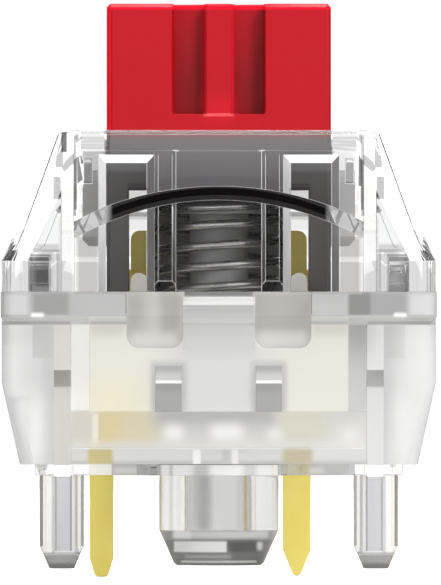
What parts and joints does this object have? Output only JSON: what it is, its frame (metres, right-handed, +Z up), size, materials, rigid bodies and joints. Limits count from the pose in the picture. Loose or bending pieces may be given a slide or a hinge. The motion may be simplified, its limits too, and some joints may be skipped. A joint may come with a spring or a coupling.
{
  "type": "mechanical keyboard switch",
  "caption": "Linear mechanical keyboard switch with a clear two-part housing, a red box-shaped stem on a coil spring, flat contact pins and locating pegs.",
  "frame": {"origin": "on the centre post's axis, in the plane of the circuit board's top face", "axes": "+Z up to the keycap, -Y to the side with the lamp cove, +X towards the longer-reaching right contact pin seen from the cove side"},
  "size_m": [0.014, 0.0156, 0.0185],
  "materials": {
    "clear_base": "clear, slightly milky",
    "clear_cap": "clear, polished",
    "stem_red": "satin moulded",
    "spring_steel": "drawn wire",
    "contact_metal": "plated, satin",
    "contact_point": "bright"
  },
  "bodies": {
    "housing": {"lower_housing": "clear_base", "upper_housing": "clear_cap", "return_spring": "spring_steel", "fixed_terminal": "contact_metal", "moving_terminal": "contact_metal", "fixed_contact_bar": "contact_point"},
    "stem": {"stem": "stem_red"},
    "leaf": {"contact_leaf": "contact_metal", "moving_contact_bar": "contact_point"}
  },
  "joints": [
    {"name": "stem_press", "type": "slide", "parent": "housing", "child": "stem", "axis": [0, 0, -1], "range_m": [0, 0.0036], "stiffness_N_per_m": 55, "springref_m": -0.0064, "deforming": ["return_spring"]},
    {"name": "leaf_flex", "type": "hinge", "parent": "housing", "child": "leaf", "pos_m": [0, 0.00493, 0.00125], "axis": [1, 0, 0], "range_deg": [0, 2.9]}
  ],
  "couplings": [
    {"joint": "leaf_flex", "follows": "stem_press", "rad_per_m": 14.029}
  ]
}
